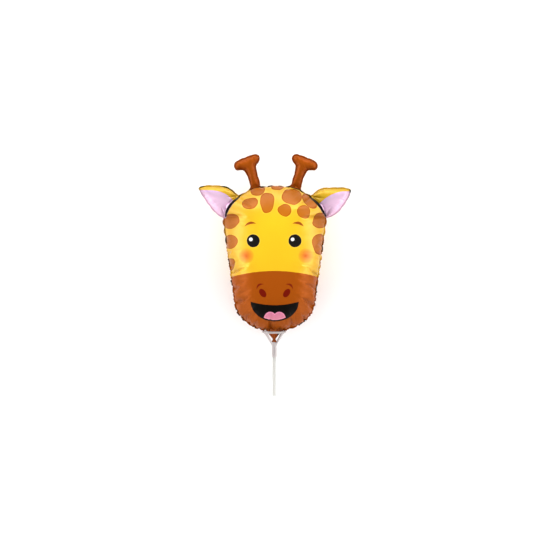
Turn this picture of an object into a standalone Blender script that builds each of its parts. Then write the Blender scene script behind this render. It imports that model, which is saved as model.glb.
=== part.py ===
"""Giraffe foil balloon, lying on its back.

A giraffe's head of sealed foil with two ears and two horns, the clear cup that holds its neck,
and the hollow stick in the cup. X is the head's width, +Y points from the chin to the horns and
+Z is the face side. The origin is the middle of the flat spot that the head rests on.
"""
import math

import bmesh
import bpy
from mathutils import Vector

# Frame: the outline below is measured from the middle of the head's widest line
REST_Y = 0.0565
SEAM_HEIGHT = 0.0612

# Head: half an ellipse for the crown, a straight taper to the jaw, half an ellipse for the chin
CROWN_HALF_WIDTH = 0.0906
CROWN_HEIGHT = 0.0634
JAW_HALF_WIDTH = 0.0713
JAW_DROP = 0.1365
CHIN_HEIGHT = 0.0551
HEAD_HALF_THICKNESS = 0.0630
HEAD_MIDDLE_Y = -REST_Y

# The film is fuller towards the chin and the crown than an ellipse is
FULLNESS_ACROSS = 2.12
FULLNESS_ALONG = 2.65

# Puckers that the seam pulls into the film
HEAD_PUCKERS = 24
PUCKER_DEPTH = 0.0019
PUCKER_REACH = 4.0

# Ear and horn on the head's +X side, from the lower root round the tip to the upper root
EAR = [(0.0893, 0.0070), (0.1012, 0.0119), (0.1122, 0.0214), (0.1211, 0.0345), (0.1306, 0.0495),
       (0.1330, 0.0570), (0.1222, 0.0611), (0.1059, 0.0630), (0.0886, 0.0616), (0.0768, 0.0570),
       (0.0639, 0.0451)]
EAR_ROOT = [(0.0560, 0.0300), (0.0700, 0.0040)]
EAR_MIDDLE = (0.0960, 0.0380)
EAR_HALF_THICKNESS = 0.0190
HORN = [(0.0441, 0.0578), (0.0459, 0.0683), (0.0495, 0.0788), (0.0551, 0.0887), (0.0621, 0.0905),
        (0.0691, 0.0905), (0.0734, 0.0965), (0.0709, 0.1050), (0.0621, 0.1101), (0.0534, 0.1136),
        (0.0446, 0.1169), (0.0364, 0.1190), (0.0298, 0.1166), (0.0278, 0.1111), (0.0298, 0.1055),
        (0.0343, 0.0970), (0.0320, 0.0840), (0.0289, 0.0735), (0.0263, 0.0613)]
HORN_ROOT = [(0.0290, 0.0440), (0.0400, 0.0420)]
HORN_MIDDLE = (0.0470, 0.1000)
HORN_HALF_THICKNESS = 0.0115

# Heat-sealed edge around the whole balloon
SEAM_WIDTH = 0.0030
LIMB_SEAM_WIDTH = 0.0024
SEAM_THICKNESS = 0.0008
SCALLOP_PITCH = 0.0168
SCALLOP_DEPTH = 0.0008
OUTLINE_STEP = 0.0042

# Neck of the foil, from inside the chin down into the cup: depth below the cup's rim, half-width
NECK = [(-0.0080, 0.0100), (0.0030, 0.0096), (0.0095, 0.0058), (0.0140, 0.0022), (0.0160, 0.0024),
        (0.0172, 0.0036), (0.0196, 0.0038)]
NECK_THICKNESS = 0.0024

# Cup: a turned funnel on a tube, its axis in the seam's plane, with a window front and back
CUP_SIDE_SHIFT = -0.0010
CUP_TURN = math.radians(5.0)
CUP_RIM_Y = -0.1908
CUP_WALL = 0.0010
CUP_SIDE = [(0.0210, 0.0004), (0.0214, 0.0012), (0.0208, 0.0020), (0.0180, 0.0038), (0.0147, 0.0075),
            (0.0109, 0.0137), (0.0074, 0.0195), (0.0050, 0.0238), (0.0042, 0.0262)]
CUP_FLOOR_DEPTH = 0.0210
CUP_LENGTH = 0.0455
CUP_STEPS = 36
WINDOW_TOP = (0.0040, 0.0118)
WINDOW_BOTTOM = (0.0204, 0.0040)
WINDOW_CORNER = 0.0012

# Stick: a drinking-straw tube pushed up to the stop in the cup
STICK_RADIUS = 0.0029
STICK_WALL = 0.0008
STICK_TOP_DEPTH = 0.0322
STICK_END_Y = -0.3042
STICK_STEPS = 24
GAP = 0.0003

# Flat spot that keeps the round back from rolling
CUTTER_SIZE = 0.30

# Segments around and over the pillows
HEAD_GRID = (96, 14)
EAR_GRID = (36, 8)
HORN_GRID = (40, 8)


def clear_scene():
    for thing in list(bpy.data.objects):
        bpy.data.objects.remove(thing, do_unlink=True)


def new_collection(name):
    collection = bpy.data.collections.new(name)
    bpy.context.scene.collection.children.link(collection)
    return collection


def material(name, colour, roughness, metallic=0.0, alpha=1.0):
    result = bpy.data.materials.new(name)
    result.use_nodes = True
    shader = result.node_tree.nodes["Principled BSDF"]
    shader.inputs["Base Color"].default_value = (*colour, 1.0)
    shader.inputs["Roughness"].default_value = roughness
    shader.inputs["Metallic"].default_value = metallic
    shader.inputs["Alpha"].default_value = alpha
    return result


def arc(half_width, height, middle_y, start, end, count=60):
    """Points of an ellipse between two angles in degrees."""
    points = []
    for i in range(count + 1):
        angle = math.radians(start + (end - start) * i / count)
        points.append(Vector((half_width * math.cos(angle), middle_y + height * math.sin(angle))))
    return points


def spline(points, steps=8):
    """Smooth curve through the points."""
    knots = [Vector(p) for p in points]
    knots = [2 * knots[0] - knots[1]] + knots + [2 * knots[-1] - knots[-2]]
    curve = []
    for a, b, c, d in zip(knots, knots[1:], knots[2:], knots[3:]):
        for i in range(steps):
            t = i / steps
            curve.append(0.5 * (2 * b + (c - a) * t + (2 * a - 5 * b + 4 * c - d) * t ** 2
                                + (3 * b - a - 3 * c + d) * t ** 3))
    curve.append(knots[-2])
    return curve


def crown_angle(point):
    return math.degrees(math.atan2(point[1] / CROWN_HEIGHT, point[0] / CROWN_HALF_WIDTH))


def mirrored(half):
    """Closed loop from its +X half, which runs from the chin's bottom to the crown's top."""
    return half + [Vector((-p.x, p.y)) for p in reversed(half) if p.x > 1e-6]


def head_half():
    chin = arc(JAW_HALF_WIDTH, CHIN_HEIGHT, -JAW_DROP, -90, 0)
    crown = arc(CROWN_HALF_WIDTH, CROWN_HEIGHT, 0.0, 0, 90)
    return chin + crown


def neck_half():
    """Neck's +X edge, from its end up to the chin."""
    return [Vector((width, CUP_RIM_Y - depth)) for depth, width in reversed(NECK)]


def balloon_half():
    """The balloon's whole +X edge: chin, cheek, ear, temple, horn and crown."""
    def crown(first, last):
        return arc(CROWN_HALF_WIDTH, CROWN_HEIGHT, 0.0, first, last, 24)

    half = arc(JAW_HALF_WIDTH, CHIN_HEIGHT, -JAW_DROP, -90, 0)
    half += crown(0, crown_angle(EAR[0]))[:-1] + spline(EAR)
    half += crown(crown_angle(EAR[-1]), crown_angle(HORN[0]))[1:-1] + spline(HORN)
    half += crown(crown_angle(HORN[-1]), 90)[1:]
    return half


def evenly(loop, count):
    """Points at equal distances along a closed loop."""
    lengths = [0.0]
    closed = loop + [loop[0]]
    for a, b in zip(closed, closed[1:]):
        lengths.append(lengths[-1] + (b - a).length)
    points = []
    k = 0
    for i in range(count):
        target = lengths[-1] * i / count
        while lengths[k + 1] < target:
            k += 1
        span = max(lengths[k + 1] - lengths[k], 1e-12)
        points.append(closed[k].lerp(closed[k + 1], (target - lengths[k]) / span))
    return points


def bulge(part_of_way, power):
    """Height of a blown-up film, 1 at its middle and 0 at its edge."""
    return max(0.0, 1.0 - abs(part_of_way) ** power) ** (1.0 / power)


def head_half_width(y):
    if y > 0.0:
        return CROWN_HALF_WIDTH * math.sqrt(max(0.0, 1.0 - (y / CROWN_HEIGHT) ** 2))
    if y > -JAW_DROP:
        return CROWN_HALF_WIDTH + (JAW_HALF_WIDTH - CROWN_HALF_WIDTH) * y / -JAW_DROP
    return JAW_HALF_WIDTH * math.sqrt(max(0.0, 1.0 - ((y + JAW_DROP) / CHIN_HEIGHT) ** 2))


def head_height(x, y):
    """Height of the head's film: elliptical across the head, fuller along it."""
    end = CROWN_HEIGHT if y > HEAD_MIDDLE_Y else -JAW_DROP - CHIN_HEIGHT
    reach = abs(end - HEAD_MIDDLE_Y) - SEAM_WIDTH
    half_width = max(head_half_width(y) - SEAM_WIDTH, 1e-6)
    across = bulge(min(1.0, abs(x) / half_width), FULLNESS_ACROSS)
    return HEAD_HALF_THICKNESS * across * bulge(min(1.0, abs(y - HEAD_MIDDLE_Y) / reach), FULLNESS_ALONG)


def pillow(name, loop, middle, height_at, grid, inset, puckers=0):
    """Blown-up pouch: a sphere whose rings are drawn out to the loop, inset from it by the seam.

    height_at gives the film's height from a place in the plane and the ring's share of the way out.
    """
    around, over = grid
    centre = Vector(middle)
    edge = []
    for point in evenly(loop, around):
        out = point - centre
        edge.append(out * (1.0 - inset / out.length))
    mesh = bpy.data.meshes.new(name)
    bm = bmesh.new()
    bmesh.ops.create_uvsphere(bm, u_segments=around, v_segments=over, radius=1.0)
    for vert in bm.verts:
        ring = math.hypot(vert.co.x, vert.co.y)
        turn = (math.atan2(vert.co.y, vert.co.x) / math.tau) % 1.0
        out = edge[round(turn * around) % around]
        x = centre.x + out.x * ring
        y = centre.y + out.y * ring
        height = height_at(x, y, ring)
        height += PUCKER_DEPTH * math.cos(math.tau * puckers * turn) * ring ** PUCKER_REACH if puckers else 0.0
        on_seam = abs(vert.co.z) < 1e-6
        vert.co = Vector((x, y, 0.0 if on_seam else math.copysign(height, vert.co.z)))
    bmesh.ops.recalc_face_normals(bm, faces=bm.faces)
    bm.to_mesh(mesh)
    bm.free()
    return bpy.data.objects.new(name, mesh)


def flat_sheet(name, loop, thickness):
    """Flat outline of an even thickness about z = 0, as a mesh."""
    curve = bpy.data.curves.new(name, "CURVE")
    curve.dimensions = "2D"
    curve.fill_mode = "BOTH"
    curve.extrude = thickness / 2
    line = curve.splines.new("POLY")
    line.points.add(len(loop) - 1)
    for target, point in zip(line.points, loop):
        target.co = (point.x, point.y, 0.0, 1.0)
    line.use_cyclic_u = True
    rough = bpy.data.objects.new(name + "_curve", curve)
    bpy.context.scene.collection.objects.link(rough)
    bpy.context.view_layer.update()
    evaluated = rough.evaluated_get(bpy.context.evaluated_depsgraph_get())
    mesh = bpy.data.meshes.new_from_object(evaluated)
    bpy.data.objects.remove(rough, do_unlink=True)
    bm = bmesh.new()
    bm.from_mesh(mesh)
    bmesh.ops.remove_doubles(bm, verts=bm.verts, dist=0.00002)
    bmesh.ops.recalc_face_normals(bm, faces=bm.faces)
    bm.to_mesh(mesh)
    bm.free()
    return bpy.data.objects.new(name, mesh)


def scalloped(half):
    """Edge of the seam, drawn in between the puckers."""
    loop = mirrored(half)
    length = sum((b - a).length for a, b in zip(loop, loop[1:] + loop[:1]))
    points = evenly(loop, round(length / OUTLINE_STEP))
    count = len(points)
    waves = round(length / SCALLOP_PITCH)
    result = []
    for i, point in enumerate(points):
        along = (points[(i + 1) % count] - points[i - 1]).normalized()
        inward = Vector((-along.y, along.x))
        depth = SCALLOP_DEPTH * (0.5 - 0.5 * math.cos(math.tau * waves * i / count))
        result.append(point + inward * depth)
    return result


def join(target, other, cutters, operation):
    cutters.objects.link(other)
    other.hide_render = True
    other.display_type = "WIRE"
    other.parent = target.parent
    boolean = target.modifiers.new(other.name, "BOOLEAN")
    boolean.operation = operation
    boolean.solver = "EXACT"
    boolean.object = other


def smooth(thing, angle):
    thing.data.shade_smooth()
    thing.data.set_sharp_from_angle(angle=math.radians(angle))


def make_balloon(parts, cutters, frame):
    """Head, ears, horns, sealed edge and neck of the foil, as one closed body."""
    balloon = pillow("foil_balloon", mirrored(head_half()), (0.0, HEAD_MIDDLE_Y),
                     lambda x, y, ring: head_height(x, y), HEAD_GRID, SEAM_WIDTH, HEAD_PUCKERS)
    balloon.parent = frame
    parts.objects.link(balloon)

    limbs = {"ear": (EAR, EAR_ROOT, EAR_MIDDLE, EAR_HALF_THICKNESS, EAR_GRID),
             "horn": (HORN, HORN_ROOT, HORN_MIDDLE, HORN_HALF_THICKNESS, HORN_GRID)}
    for name, (edge, root, middle, half_thickness, grid) in limbs.items():
        loop = spline(edge) + [Vector(p) for p in root]
        for side, sign in (("right", 1), ("left", -1)):
            turned = [Vector((sign * p.x, p.y)) for p in loop]
            if sign < 0:
                turned.reverse()
            limb = pillow(f"{name}_{side}", turned, (sign * middle[0], middle[1]),
                          lambda x, y, ring: half_thickness * bulge(ring, FULLNESS_ACROSS),
                          grid, LIMB_SEAM_WIDTH)
            join(balloon, limb, cutters, "UNION")
    join(balloon, flat_sheet("seam", scalloped(balloon_half()), SEAM_THICKNESS), cutters, "UNION")
    join(balloon, flat_sheet("neck", mirrored(neck_half()), NECK_THICKNESS), cutters, "UNION")

    bpy.ops.mesh.primitive_cube_add(size=CUTTER_SIZE, location=(0, 0, -SEAM_HEIGHT - CUTTER_SIZE / 2))
    below = bpy.context.object
    below.name = "below_the_floor"
    bpy.context.collection.objects.unlink(below)
    join(balloon, below, cutters, "DIFFERENCE")
    balloon.data.shade_smooth()
    balloon.data.materials.append(material("printed_foil", (1.0, 0.58, 0.0), 0.28, 0.35))


def turned(name, profile, steps):
    """Closed profile of (radius, height) points, turned about Z."""
    mesh = bpy.data.meshes.new(name)
    bm = bmesh.new()
    verts = [bm.verts.new((radius, 0.0, height)) for radius, height in profile]
    for a, b in zip(verts, verts[1:]):
        bm.edges.new((a, b))
    if profile[0][0] > 0.0:
        bm.edges.new((verts[-1], verts[0]))
    bm.to_mesh(mesh)
    bm.free()
    thing = bpy.data.objects.new(name, mesh)
    screw = thing.modifiers.new("turn", "SCREW")
    screw.axis = "Z"
    screw.steps = steps
    screw.render_steps = steps
    screw.use_merge_vertices = True
    screw.merge_threshold = 0.00002
    screw.use_smooth_shade = True
    return thing


def make_cup(parts, cutters, frame):
    """Funnel with two windows, a solid stop below its floor and a tube for the stick."""
    bore = STICK_RADIUS + GAP
    inside = [(radius - CUP_WALL * 1.15, -depth) for radius, depth in CUP_SIDE if depth < CUP_FLOOR_DEPTH]
    floor_radius = inside[-1][0] - 0.0006
    profile = [(0.0, -CUP_FLOOR_DEPTH), (floor_radius, -CUP_FLOOR_DEPTH)]
    profile += list(reversed(inside[1:])) + [(CUP_SIDE[0][0] - CUP_WALL, -CUP_SIDE[0][1])]
    profile += [(CUP_SIDE[0][0] - CUP_WALL * 0.5, 0.0)]
    profile += [(radius, -depth) for radius, depth in CUP_SIDE]
    profile += [(CUP_SIDE[-1][0], -CUP_LENGTH), (bore, -CUP_LENGTH), (bore, GAP - STICK_TOP_DEPTH),
                (0.0, GAP - STICK_TOP_DEPTH)]
    cup = turned("cup", profile, CUP_STEPS)
    cup.parent = frame
    cup.location = (CUP_SIDE_SHIFT, CUP_RIM_Y, 0.0)
    cup.rotation_euler = (-math.pi / 2, CUP_TURN, 0.0)
    parts.objects.link(cup)
    cup.data.materials.append(material("cup_plastic", (0.66, 0.62, 0.62), 0.25, alpha=0.75))

    window = bpy.data.objects.new("window", bpy.data.meshes.new("window"))
    bm = bmesh.new()
    bmesh.ops.create_cube(bm, size=1.0)
    for vert in bm.verts:
        depth, half_width = WINDOW_TOP if vert.co.z > 0 else WINDOW_BOTTOM
        vert.co = Vector((math.copysign(half_width, vert.co.x), math.copysign(2 * CUP_SIDE[0][0], vert.co.y),
                          -depth))
    bm.to_mesh(window.data)
    bm.free()
    corner = window.modifiers.new("corners", "BEVEL")
    corner.width = WINDOW_CORNER
    corner.segments = 3
    window.location = cup.location
    window.rotation_euler = cup.rotation_euler
    join(cup, window, cutters, "DIFFERENCE")


def make_stick(parts, frame):
    """Hollow stick, from the cup's stop to its free end."""
    top = CUP_RIM_Y - STICK_TOP_DEPTH
    length = top - STICK_END_Y
    inner = STICK_RADIUS - STICK_WALL
    stick = turned("stick", [(inner, 0.0), (STICK_RADIUS, 0.0), (STICK_RADIUS, -length), (inner, -length)],
                   STICK_STEPS)
    stick.parent = frame
    stick.location = (CUP_SIDE_SHIFT, top, 0.0)
    stick.rotation_euler = (-math.pi / 2, 0.0, 0.0)
    parts.objects.link(stick)
    stick.data.materials.append(material("stick_plastic", (0.84, 0.84, 0.80), 0.4))


def main():
    clear_scene()
    parts = new_collection("giraffe_foil_balloon")
    cutters = new_collection("cutters")
    frame = bpy.data.objects.new("seam_plane", None)
    frame.location = (0.0, REST_Y, SEAM_HEIGHT)
    parts.objects.link(frame)
    make_balloon(parts, cutters, frame)
    make_cup(parts, cutters, frame)
    make_stick(parts, frame)


main()
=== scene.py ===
"""Looks of the giraffe foil balloon: a printed film pouch, cut flat and blown up, its cup and its stick."""
import math

import bmesh
import bpy
import numpy as np
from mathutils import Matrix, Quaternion, Vector
from mathutils.geometry import delaunay_2d_cdt


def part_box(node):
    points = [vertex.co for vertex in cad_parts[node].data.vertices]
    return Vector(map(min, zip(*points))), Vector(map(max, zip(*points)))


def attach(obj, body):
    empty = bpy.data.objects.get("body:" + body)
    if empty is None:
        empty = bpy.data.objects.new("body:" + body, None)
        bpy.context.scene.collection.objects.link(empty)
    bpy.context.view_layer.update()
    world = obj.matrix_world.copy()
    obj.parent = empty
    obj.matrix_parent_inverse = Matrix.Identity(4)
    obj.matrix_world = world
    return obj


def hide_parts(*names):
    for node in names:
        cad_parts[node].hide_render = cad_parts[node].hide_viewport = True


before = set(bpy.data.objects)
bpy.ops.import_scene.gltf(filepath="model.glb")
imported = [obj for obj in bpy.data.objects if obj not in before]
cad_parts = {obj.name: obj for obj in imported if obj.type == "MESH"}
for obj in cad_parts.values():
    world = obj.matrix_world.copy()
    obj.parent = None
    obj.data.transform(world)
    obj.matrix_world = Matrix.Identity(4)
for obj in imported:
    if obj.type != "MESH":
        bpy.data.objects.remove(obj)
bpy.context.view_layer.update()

# The seam's plane and the head's widest line, from the frame
CUP_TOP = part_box("cup")[1][1]
STICK_LOW, STICK_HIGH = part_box("stick")
SEAM_HEIGHT = (STICK_LOW[2] + STICK_HIGH[2]) / 2
CUP_RIM_BELOW_WIDEST = 0.1908
REST_Y = CUP_TOP + CUP_RIM_BELOW_WIDEST
AXIS_X = (STICK_LOW[0] + STICK_HIGH[0]) / 2

# Blown-up outline of the seam's outer edge, in metres from the middle of the widest line
CROWN_HALF_WIDTH = 0.0906
CROWN_HEIGHT = 0.0634
JAW_HALF_WIDTH = 0.0713
JAW_DROP = 0.1365
CHIN_HEIGHT = 0.0551
EAR = [(0.0893, 0.0070), (0.1012, 0.0110), (0.1128, 0.0198), (0.1222, 0.0325), (0.1305, 0.0475),
       (0.1330, 0.0545), (0.1335, 0.0590), (0.1300, 0.0622), (0.1200, 0.0643), (0.1059, 0.0645),
       (0.0886, 0.0628), (0.0768, 0.0582), (0.0639, 0.0462)]
HORN = [(0.0441, 0.0578), (0.0459, 0.0683), (0.0495, 0.0788), (0.0551, 0.0887), (0.0621, 0.0905),
        (0.0691, 0.0905), (0.0734, 0.0965), (0.0709, 0.1050), (0.0621, 0.1101), (0.0534, 0.1136),
        (0.0446, 0.1169), (0.0364, 0.1190), (0.0298, 0.1166), (0.0278, 0.1111), (0.0298, 0.1055),
        (0.0343, 0.0970), (0.0320, 0.0840), (0.0289, 0.0735), (0.0263, 0.0613)]
SEAM_WIDTH = 0.0028
# The horns stand a little to one side, the right-hand ear hangs lower, the left-hand one bulges less below
HORN_SHIFT = 0.002
EAR_DROOP = 0.0036
EAR_TIP_X = 0.1335
EAR_TIP_Y = 0.0590
EAR_BULGE_LOST = 0.4

START_HEIGHT = 0.0008

# Flat cut: how much wider and taller it is than the blown-up balloon, before it is fitted
HEAD_CUT = (1.33, 1.22)
LIMB_CUT = {"ear": (1.15, 1.02), "horn": (1.15, 1.02)}
ROOT_BLEND = 0.02
# Rounds of trimming the cut, and how far the blown film is moved along each time
CUT_FITS = 3
SHAPE_FOLLOWS = 0.7
HEAD_STEP = 0.0066
LIMB_STEP = 0.0036
# Height of a membrane's dome against the square root of its solution for an even load
DOME = 1.25
DOME_ROUNDS = 400
# The lying balloon touches the floor, so it is a little thicker than twice the seam's height
PRESSED = 1.02
PRINT_EVENING = {1: 1, 2: 3}

# Pleats that run in from the seam: pitch along it, how far in they are deepest, and height
HEAD_PLEATS = [(0.0085, 0.009, 0.0007), (0.019, 0.019, 0.0013)]
LIMB_PLEATS = [(0.0050, 0.003, 0.0003), (0.011, 0.006, 0.0004)]
PLEAT_KNOTS = 160
# Mean of a sine's size, taken off so that pleats and scallops don't move the film as a whole
SINE_MEAN = 0.64

# Sealed edge outside the seam: film on film
SEAM_THICKNESS = 0.0003
SEAM_WAVE = 0.0008
SEAM_WAVE_PITCH = 0.017
SEAM_SCALLOP = 0.9
SEAM_KNOTS = 90
SEAM_CALM_ON_LIMBS = 0.35
SEAM_SHARES = (0.0, 0.35, 0.7, 1.0)
SEAM_TIP = 0.4

# Photograph's frame
PIXEL = 0.00175
PHOTO_SIZE = 550
PHOTO_CENTRE = (0.0005, -0.03625)
CAMERA_DISTANCE = 2.4
SENSOR = 36.0


def make_camera():
    """Looks straight down on the lying balloon, which the photograph shows upright from the front."""
    data = bpy.data.cameras.new("camera")
    data.sensor_width = SENSOR
    data.lens = SENSOR * CAMERA_DISTANCE / (PIXEL * PHOTO_SIZE)
    data.clip_end = 20.0
    camera = bpy.data.objects.new("camera", data)
    camera.location = (*PHOTO_CENTRE, SEAM_HEIGHT + CAMERA_DISTANCE)
    camera.rotation_mode = "QUATERNION"
    camera.rotation_quaternion = Quaternion()
    bpy.context.scene.collection.objects.link(camera)
    bpy.context.scene.camera = camera


def link(thing):
    bpy.context.scene.collection.objects.link(thing)
    return thing


# Outline

def arc(half_width, height, middle_y, start, end, count=60):
    turn = np.radians(np.linspace(start, end, count + 1))
    return np.stack([half_width * np.cos(turn), middle_y + height * np.sin(turn)], 1)


def spline(points, steps=10):
    """Smooth curve through the points."""
    p = np.array(points, float)
    p = np.vstack([2 * p[0] - p[1], p, 2 * p[-1] - p[-2]])
    t = np.linspace(0, 1, steps, endpoint=False)[:, None]
    runs = []
    for a, b, c, d in zip(p, p[1:], p[2:], p[3:]):
        bend, twist = 2 * a - 5 * b + 4 * c - d, 3 * b - a - 3 * c + d
        runs.append(0.5 * (2 * b + (c - a) * t + bend * t ** 2 + twist * t ** 3))
    return np.vstack(runs + [p[-2:-1]])


def crown_angle(point):
    return math.degrees(math.atan2(point[1] / CROWN_HEIGHT, point[0] / CROWN_HALF_WIDTH))


def half_outline():
    """+X half of the outline, from the chin's bottom to the crown's top, and what each point is part of."""
    def crown(first, last):
        return arc(CROWN_HALF_WIDTH, CROWN_HEIGHT, 0.0, first, last, 24)

    jaw, widest = (JAW_HALF_WIDTH, -JAW_DROP), (CROWN_HALF_WIDTH, 0.0)
    runs = [("head", arc(JAW_HALF_WIDTH, CHIN_HEIGHT, -JAW_DROP, -90, 0)[:-1]),
            ("head", np.linspace(jaw, widest, 30, endpoint=False)),
            ("head", crown(0, crown_angle(EAR[0]))[:-1]),
            ("ear", spline(EAR)),
            ("head", crown(crown_angle(EAR[-1]), crown_angle(HORN[0]))[1:-1]),
            ("horn", spline(HORN)),
            ("head", crown(crown_angle(HORN[-1]), 90)[1:])]
    points = np.vstack([run for _, run in runs])
    points[[0, -1], 0] = 0.0
    return points, np.concatenate([[name] * len(run) for name, run in runs])


def mirrored(half):
    return np.vstack([half, half[-2:0:-1] * [-1, 1]])


def smoothed(loop, times):
    for _ in range(times):
        loop = 0.25 * np.roll(loop, 1, 0) + 0.5 * loop + 0.25 * np.roll(loop, -1, 0)
    return loop


def unit(vectors):
    return vectors / (np.linalg.norm(vectors, axis=1)[:, None] + 1e-12)


def outward(loop):
    """Unit normals of a closed loop that runs anticlockwise."""
    along = unit(np.roll(loop, -1, 0) - np.roll(loop, 1, 0))
    return np.stack([along[:, 1], -along[:, 0]], 1)


def first_cut(points, names):
    """Flat outline: the head grows about the origin, and each limb across and along its own axis."""
    flat = points * HEAD_CUT
    for name, (wider, longer) in LIMB_CUT.items():
        at = np.flatnonzero(names == name)
        limb = points[at]
        root = (limb[0] + limb[-1]) / 2
        across = (limb[-1] - limb[0]) / np.linalg.norm(limb[-1] - limb[0])
        along = np.array([-across[1], across[0]])
        along *= np.sign(along @ (limb.mean(0) - root))
        u, v = (limb - root) @ across, (limb - root) @ along
        root_cut = flat[at[-1]] - flat[at[0]]
        root_growth = np.linalg.norm(root_cut) / np.linalg.norm(limb[-1] - limb[0])
        far = np.clip(np.abs(v) / ROOT_BLEND, 0, 1)[:, None]
        side = root_cut / np.linalg.norm(root_cut) * (1 - far) + across * far
        growth = root_growth * (1 - far) + wider * far
        root_middle = (flat[at[0]] + flat[at[-1]]) / 2
        flat[at] = root_middle + u[:, None] * growth * side + v[:, None] * longer * along
    return flat


def resampled(flat, step, *carried):
    """Points along the closed outline at the local step, with what the outline's points carry."""
    closed = np.vstack([flat, flat[:1]])
    steps = np.append(step, step[0])
    run = np.linalg.norm(np.diff(closed, axis=0), axis=1) * 2 / (steps[1:] + steps[:-1])
    run = np.concatenate([[0], np.cumsum(run)])
    places = np.linspace(0, run[-1], round(run[-1]), endpoint=False)
    return [np.stack([np.interp(places, run, np.append(k, k[0])) for k in loop.T], 1)
            for loop in (flat, step[:, None], *carried)]


# Film

def inside(points, loop):
    x, y = points.T
    within = np.zeros(len(points), bool)
    for (xa, ya), (xb, yb) in zip(np.roll(loop, 1, 0), loop):
        if ya != yb:
            within ^= ((yb > y) != (ya > y)) & (x < (xa - xb) * (y - yb) / (ya - yb) + xb)
    return within


def doubled_areas(flat, tri):
    u, v = flat[tri[:, 1]] - flat[tri[:, 0]], flat[tri[:, 2]] - flat[tri[:, 0]]
    return u[:, 0] * v[:, 1] - u[:, 1] * v[:, 0]


def triangles(points, count):
    """Triangles between the points, inside the outline that the first count of them make."""
    ring = [(i, (i + 1) % count) for i in range(count)]
    verts, _, faces, origins, _, _ = delaunay_2d_cdt([Vector(p) for p in points], ring, [], 1, 1e-9)
    flat = np.array([tuple(v) for v in verts])
    tri = np.array([f for f in faces if len(f) == 3])
    turned = doubled_areas(flat, tri) < 0
    tri[turned] = tri[turned][:, ::-1]
    order = np.array([o[0] if o and o[0] < count else -1 for o in origins])
    return flat, tri, order


def sheet_points(edge, step):
    """Points that fill the outline, as far apart as the step at the nearest point of the outline."""
    low, high = edge.min(0), edge.max(0)
    kept = []
    for spacing in np.unique(step):
        rows = np.arange(low[1], high[1], spacing * math.sqrt(0.75))
        grid = np.array([(x, y) for k, y in enumerate(rows)
                         for x in np.arange(low[0] + (k % 2) * spacing / 2, high[0], spacing)])
        grid += np.random.default_rng(5).normal(0, spacing * 0.08, grid.shape)
        grid = grid[inside(grid, edge)]
        away = np.stack([((grid - p) ** 2).sum(1) for p in edge])
        near = away.argmin(0)
        fits = (step[near] == spacing) & (away.min(0) > (spacing * 0.6) ** 2)
        for other in kept:
            fits &= np.min([((grid - p) ** 2).sum(1) for p in other], axis=0) > (spacing * 0.6) ** 2
        kept.append(grid[fits])
    return np.vstack([edge, *kept])


def flat_sheet(edge, step):
    """Triangles that fill the outline. order says which point of the outline a point is, or -1."""
    points = sheet_points(edge, step)
    count = len(edge)
    while True:
        flat, tri, order = triangles(points, count)
        one, two = edges_of(tri).T
        gap = np.abs(order[one] - order[two])
        chord = (order[one] >= 0) & (order[two] >= 0) & (gap != 1) & (gap != count - 1)
        if not chord.any():
            return flat, tri, order
        # An edge from seam to seam would weld the two films, so it gets a point of its own
        points = np.vstack([points, (flat[one[chord]] + flat[two[chord]]) / 2])


def two_films(flat, tri, order, goal):
    """Front and back film, which share the seam's points, a hair apart."""
    count = len(flat)
    inner = np.flatnonzero(order < 0)
    behind = np.arange(count)
    behind[inner] = count + np.arange(len(inner))
    height = np.concatenate([np.where(order < 0, 1, 0), -np.ones(len(inner))]) * START_HEIGHT
    flat = np.vstack([flat, flat[inner]])
    tri = np.vstack([tri, behind[tri][:, ::-1]])
    film = Film(flat, tri, np.arange(len(tri)) < len(tri) / 2,
                np.concatenate([order, np.full(len(inner), -1)]), edges_of(tri))
    film.shape = np.column_stack([flat, height])
    film.side = np.sign(height)
    film.goal = goal[film.order[film.seam]]
    return film


def edges_of(tri):
    return np.unique(np.sort(np.vstack([tri[:, [0, 1]], tri[:, [1, 2]], tri[:, [2, 0]]]), axis=1), axis=0)


def apart(edges, count):
    """Groups of edges in which no two share a point, so that a group can be corrected at once."""
    used = [0] * count
    group = np.empty(len(edges), int)
    for k, (a, b) in enumerate(edges.tolist()):
        taken = used[a] | used[b]
        colour = 0
        while taken >> colour & 1:
            colour += 1
        used[a] |= 1 << colour
        used[b] |= 1 << colour
        group[k] = colour
    return [np.flatnonzero(group == colour) for colour in range(group.max() + 1)]


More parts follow.
